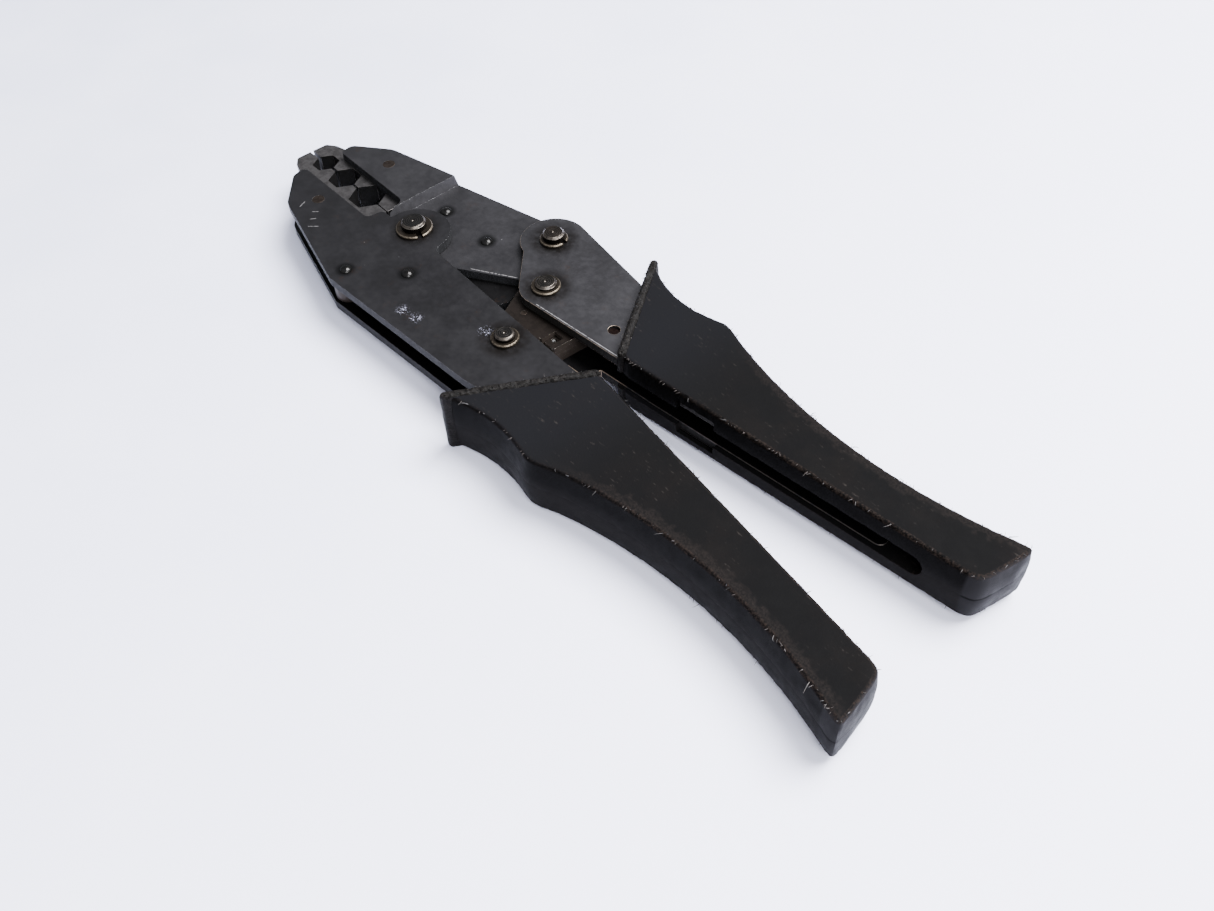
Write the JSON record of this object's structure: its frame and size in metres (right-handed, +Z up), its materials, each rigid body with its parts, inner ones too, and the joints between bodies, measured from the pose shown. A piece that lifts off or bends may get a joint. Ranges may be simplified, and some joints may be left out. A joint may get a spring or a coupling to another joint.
{
  "type": "ratchet crimping tool",
  "caption": "Hand ratchet crimping tool: steel plate jaws with hexagonal crimp dies, a toggle link with a ratchet, and two moulded grips.",
  "frame": {"origin": "middle of the footprint, on the surface that the tool lies on", "axes": "+X from the jaws to the handle ends, +Y towards the moving handle, +Z up out of the side plates"},
  "size_m": [0.2286, 0.0694, 0.018],
  "materials": {
    "plate_steel": "black oxide steel sheet with a satin face and bright worn edges",
    "link_steel": "blackened stamped steel with an oily brown tint",
    "die_steel": "black oxide tool steel",
    "pin_steel": "turned steel with worn black oxide",
    "rivet_steel": "polished domed heads",
    "spring_steel": "drawn spring wire",
    "grip_plastic": "moulded black plastic, dusty and worn along its edges"
  },
  "bodies": {
    "fixed_frame": {"frame_plate_upper": "plate_steel", "frame_plate_lower": "plate_steel", "frame_spacers": "link_steel", "frame_rivets": "rivet_steel", "fixed_die": "die_steel", "fixed_die_pin": "pin_steel", "main_pivot_pin": "pin_steel", "main_pivot_ring": "pin_steel", "anchor_pin": "pin_steel", "anchor_pin_ring": "pin_steel", "return_spring_post": "pin_steel", "return_spring": "spring_steel", "fixed_grip": "grip_plastic"},
    "moving_jaw": {"jaw_plate_upper": "plate_steel", "jaw_plate_lower": "plate_steel", "moving_die": "die_steel", "moving_die_pin": "pin_steel", "jaw_rivets": "rivet_steel"},
    "moving_handle": {"handle_plate_upper": "plate_steel", "handle_plate_lower": "plate_steel", "jaw_pin": "pin_steel", "jaw_pin_ring": "pin_steel", "link_pin": "pin_steel", "link_pin_ring": "pin_steel", "pawl_pin": "pin_steel", "pawl_spring_post": "pin_steel", "pawl_spring": "spring_steel", "moving_grip": "grip_plastic"},
    "toggle_link": {"link_plate_1": "link_steel", "link_plate_2": "link_steel", "link_plate_3": "link_steel", "link_plate_4": "link_steel", "link_rivets": "pin_steel"},
    "ratchet_pawl": {"pawl": "link_steel"}
  },
  "joints": [
    {"name": "handle_pivot", "type": "hinge", "parent": "moving_jaw", "child": "moving_handle", "pos_m": [-0.03133, 0.02331, 0.009], "axis": [0, 0, 1], "range_deg": [-3.4, 48]},
    {"name": "jaw_pivot", "type": "hinge", "parent": "fixed_frame", "child": "moving_jaw", "pos_m": [-0.06093, -0.00079, 0.009], "axis": [0, 0, 1], "range_deg": [-13.8, 1]},
    {"name": "link_pivot", "type": "hinge", "parent": "fixed_frame", "child": "toggle_link", "pos_m": [-0.01053, -0.00969, 0.009], "axis": [0, 0, 1], "range_deg": [-30.4, 2.2], "deforming": ["return_spring"]},
    {"name": "pawl_pivot", "type": "hinge", "parent": "moving_handle", "child": "ratchet_pawl", "pos_m": [0.00547, 0.01171, 0.009], "axis": [0, 0, 1], "range_deg": [-20, 20], "stiffness_Nm_per_rad": 0.02, "deforming": ["pawl_spring"]}
  ],
  "couplings": [
    {"joint": "jaw_pivot", "follows": "handle_pivot", "ratio": -0.285},
    {"joint": "link_pivot", "follows": "handle_pivot", "ratio": -0.63}
  ]
}
